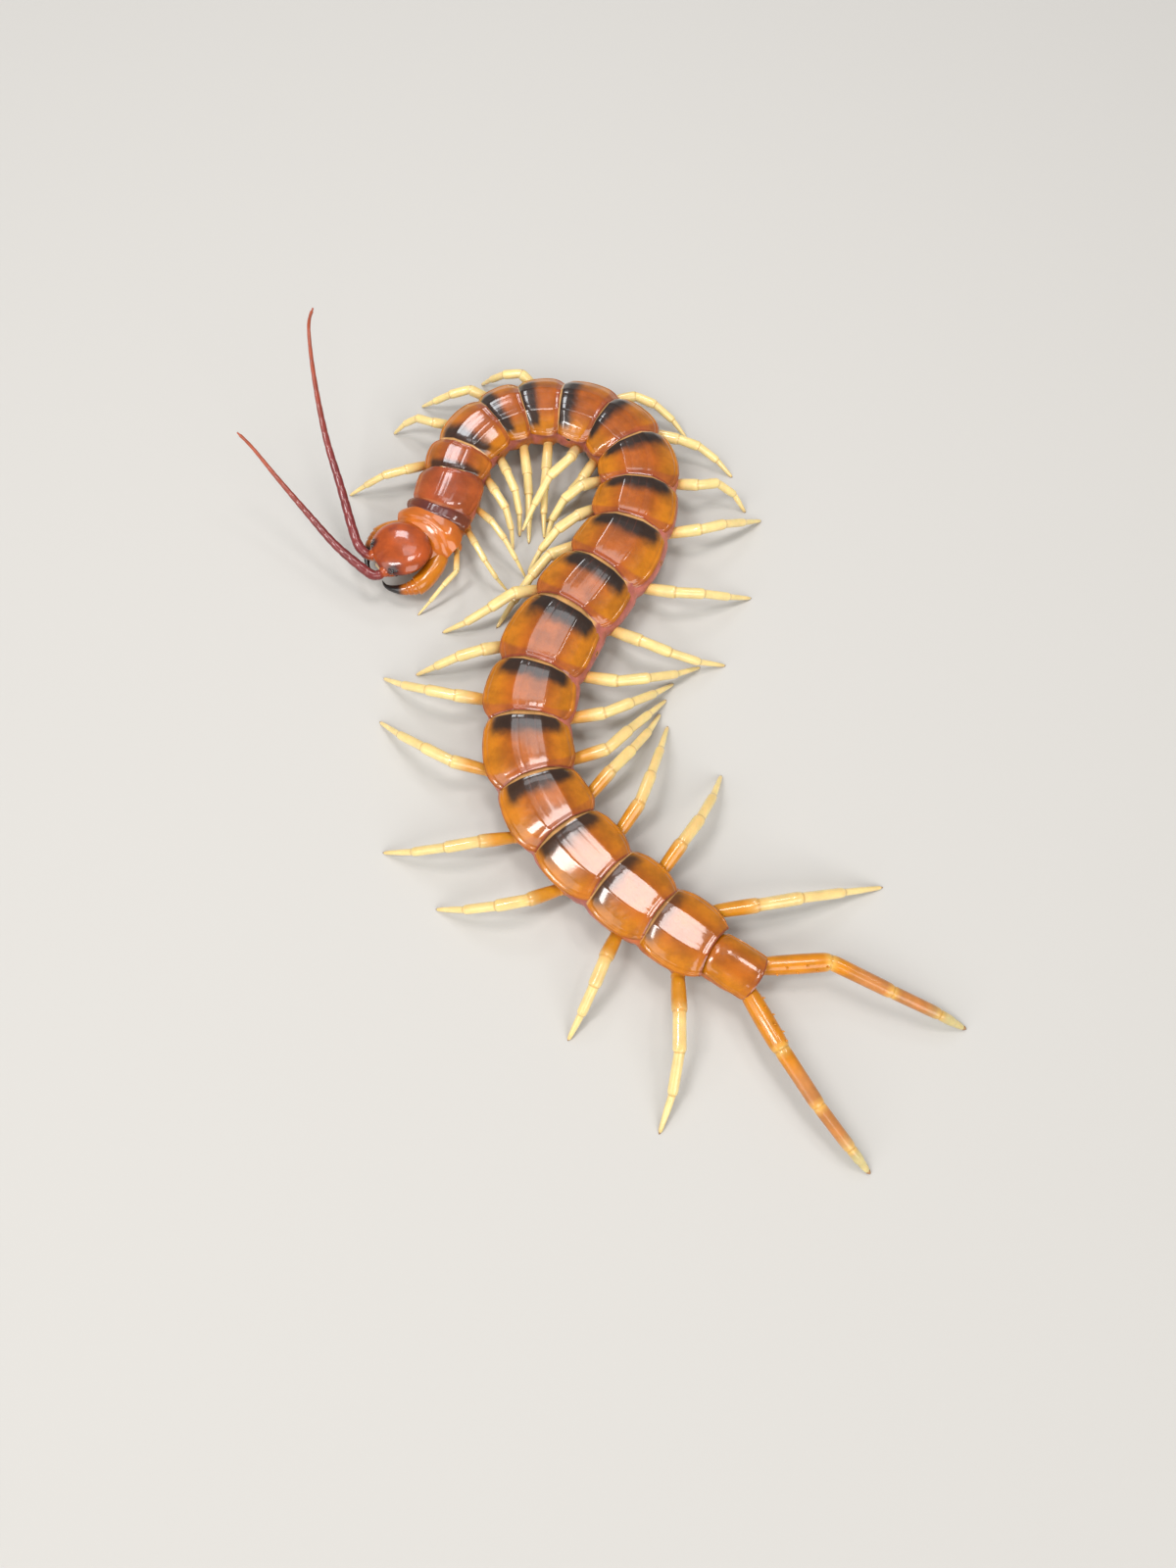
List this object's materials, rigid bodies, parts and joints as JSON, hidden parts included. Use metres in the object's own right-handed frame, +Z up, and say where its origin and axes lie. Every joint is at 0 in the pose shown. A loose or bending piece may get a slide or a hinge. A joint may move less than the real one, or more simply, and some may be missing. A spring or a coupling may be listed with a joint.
{
  "type": "giant centipede",
  "caption": "Life-size giant centipede standing on its leg tips, trunk bent in a hook, antennae raised, a still animal model for display and scenes.",
  "frame": {"origin": "middle of the bounding box's floor area, on the floor", "axes": "+Z up; +Y from the tail's side of the box towards the bend of the trunk; +X to the right when looking along +Y"},
  "size_m": [0.1378, 0.1546, 0.0311],
  "materials": {
    "head_cuticle": "glossy",
    "first_tergite": "glossy",
    "trunk_cuticle": "glossy",
    "rear_tergites": "glossy",
    "leg_cuticle": "glossy",
    "terminal_leg_cuticle": "glossy",
    "antenna_cuticle": "satin",
    "forcipule_cuticle": "glossy"
  },
  "bodies": {
    "root": {"antenna_left": "antenna_cuticle", "antenna_right": "antenna_cuticle", "forcipule_left": "forcipule_cuticle", "forcipule_right": "forcipule_cuticle", "head": "head_cuticle", "leg_left_01": "leg_cuticle", "leg_left_02": "leg_cuticle", "leg_left_03": "leg_cuticle", "leg_left_04": "leg_cuticle", "leg_left_05": "leg_cuticle", "leg_left_06": "leg_cuticle", "leg_left_07": "leg_cuticle", "leg_left_08": "leg_cuticle", "leg_left_09": "leg_cuticle", "leg_left_10": "leg_cuticle", "leg_left_11": "leg_cuticle", "leg_left_12": "leg_cuticle", "leg_left_13": "leg_cuticle", "leg_left_14": "leg_cuticle", "leg_left_15": "leg_cuticle", "leg_left_16": "leg_cuticle", "leg_left_17": "leg_cuticle", "leg_left_18": "leg_cuticle", "leg_left_19": "leg_cuticle", "leg_left_20": "leg_cuticle", "leg_right_01": "leg_cuticle", "leg_right_02": "leg_cuticle", "leg_right_03": "leg_cuticle", "leg_right_04": "leg_cuticle", "leg_right_05": "leg_cuticle", "leg_right_06": "leg_cuticle", "leg_right_07": "leg_cuticle", "leg_right_08": "leg_cuticle", "leg_right_09": "leg_cuticle", "leg_right_10": "leg_cuticle", "leg_right_11": "leg_cuticle", "leg_right_12": "leg_cuticle", "leg_right_13": "leg_cuticle", "leg_right_14": "leg_cuticle", "leg_right_15": "leg_cuticle", "leg_right_16": "leg_cuticle", "leg_right_17": "leg_cuticle", "leg_right_18": "leg_cuticle", "leg_right_19": "leg_cuticle", "leg_right_20": "leg_cuticle", "terminal_leg_left": "terminal_leg_cuticle", "terminal_leg_right": "terminal_leg_cuticle", "trunk_01": "first_tergite", "trunk_02_03": "trunk_cuticle", "trunk_04_05": "trunk_cuticle", "trunk_06_07": "trunk_cuticle", "trunk_08_09": "trunk_cuticle", "trunk_10_11": "trunk_cuticle", "trunk_12_13": "trunk_cuticle", "trunk_14_15": "trunk_cuticle", "trunk_16_17": "trunk_cuticle", "trunk_18_19": "trunk_cuticle", "trunk_20": "rear_tergites", "trunk_21": "rear_tergites"}
  },
  "joints": []
}
